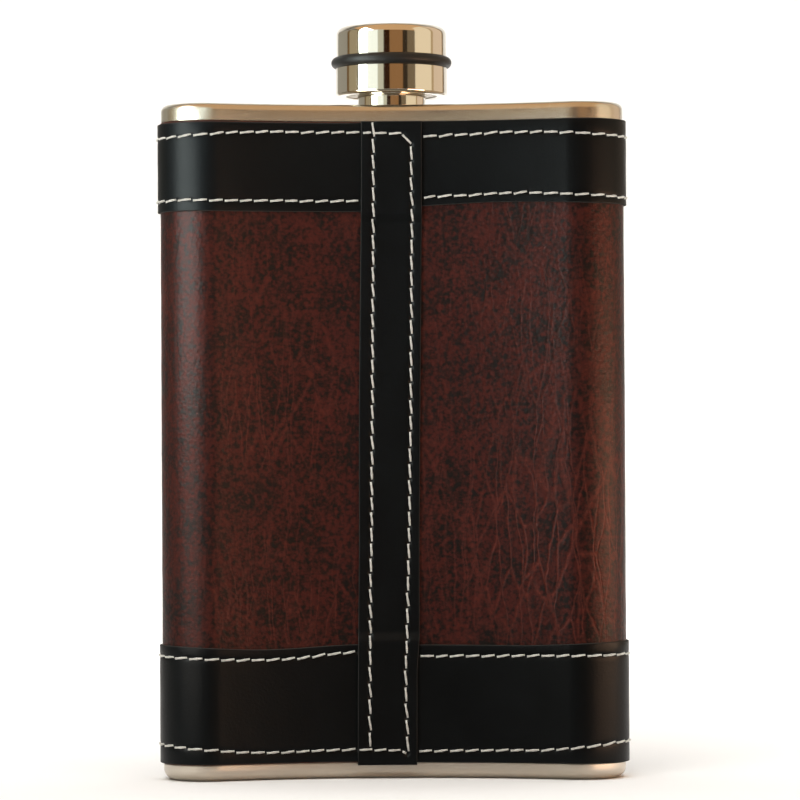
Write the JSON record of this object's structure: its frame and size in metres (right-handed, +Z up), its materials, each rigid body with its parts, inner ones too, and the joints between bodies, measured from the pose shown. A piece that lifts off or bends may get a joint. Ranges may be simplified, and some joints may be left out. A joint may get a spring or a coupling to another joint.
{
  "type": "hip flask",
  "caption": "Curved pocket flask of stainless steel in a stitched two-tone leather wrap with a seam strip down its concave back, and a screw cap with a rubber grip ring.",
  "frame": {"origin": "centre of the footprint, on the plane the flask stands on", "axes": "+Z up along the neck and cap, +X across the width with the seam strip's lower end leaning to -X, +Y towards the convex front; the concave stitched back faces -Y"},
  "size_m": [0.0961, 0.0307, 0.1524],
  "materials": {
    "polished_steel": "polished",
    "satin_steel": "satin",
    "brown_leather": "satin",
    "black_leather": "satin",
    "cream_thread": "matte",
    "black_rubber": "satin",
    "white_silicone": "satin"
  },
  "bodies": {
    "flask": {"body_wall": "satin_steel", "top_plate": "polished_steel", "bottom_plate": "satin_steel", "threaded_neck": "polished_steel", "brown_leather_cover": "brown_leather", "top_leather_band": "black_leather", "bottom_leather_band": "black_leather", "back_seam_strip": "black_leather", "top_band_upper_stitching": "cream_thread", "top_band_lower_stitching": "cream_thread", "bottom_band_upper_stitching": "cream_thread", "bottom_band_lower_stitching": "cream_thread", "seam_strip_stitching": "cream_thread"},
    "seal": {"cap_seal": "white_silicone"},
    "cap": {"cap_shell": "polished_steel", "cap_thread_insert": "satin_steel", "cap_grip_ring": "black_rubber"}
  },
  "joints": [
    {"name": "cap_lift", "type": "slide", "parent": "flask", "child": "seal", "axis": [0, 0, 1], "range_m": [0, 0.0068]},
    {"name": "cap_turn", "type": "hinge", "parent": "seal", "child": "cap", "pos_m": [0, 0.0033, 0.1384], "axis": [0, 0, 1], "range_deg": [0, 1620]}
  ],
  "couplings": [
    {"joint": "cap_lift", "follows": "cap_turn", "m_per_rad": 0.00023873}
  ]
}
